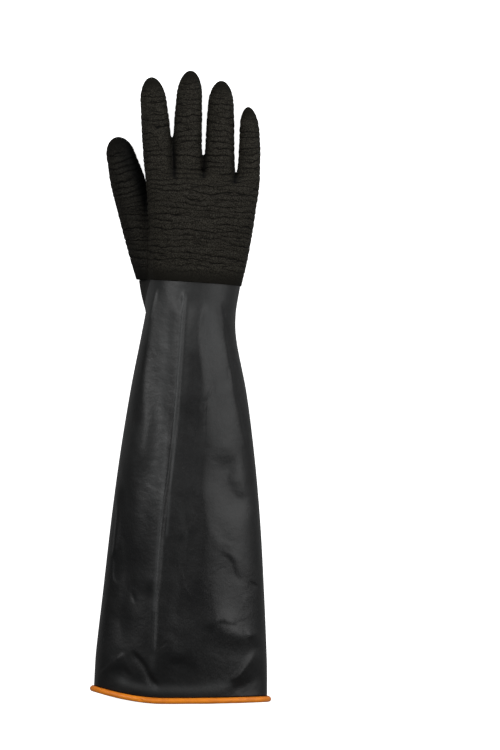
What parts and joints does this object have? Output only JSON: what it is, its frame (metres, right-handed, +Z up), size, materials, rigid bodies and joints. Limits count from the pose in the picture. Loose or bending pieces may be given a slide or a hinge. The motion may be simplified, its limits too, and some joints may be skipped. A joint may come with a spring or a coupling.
{
  "type": "industrial rubber glove",
  "caption": "Long black rubber gauntlet for the right hand, with a crinkled hand, a smooth slack sleeve and an orange rolled cuff bead, lying palm down.",
  "frame": {"origin": "on the surface that the glove lies on, under the middle of its bounding box", "axes": "+Y along the glove from the cuff towards the fingertips, +Z up out of the back of the hand, +X towards the little finger"},
  "size_m": [0.1716, 0.6008, 0.0604],
  "materials": {
    "crinkle_rubber": "matt brown-black crinkle coat",
    "smooth_rubber": "smooth satin black",
    "bead_rubber": "satin orange"
  },
  "bodies": {
    "root": {"crinkled_hand": "crinkle_rubber", "gauntlet_sleeve": "smooth_rubber", "rolled_bead": "bead_rubber"}
  },
  "joints": []
}
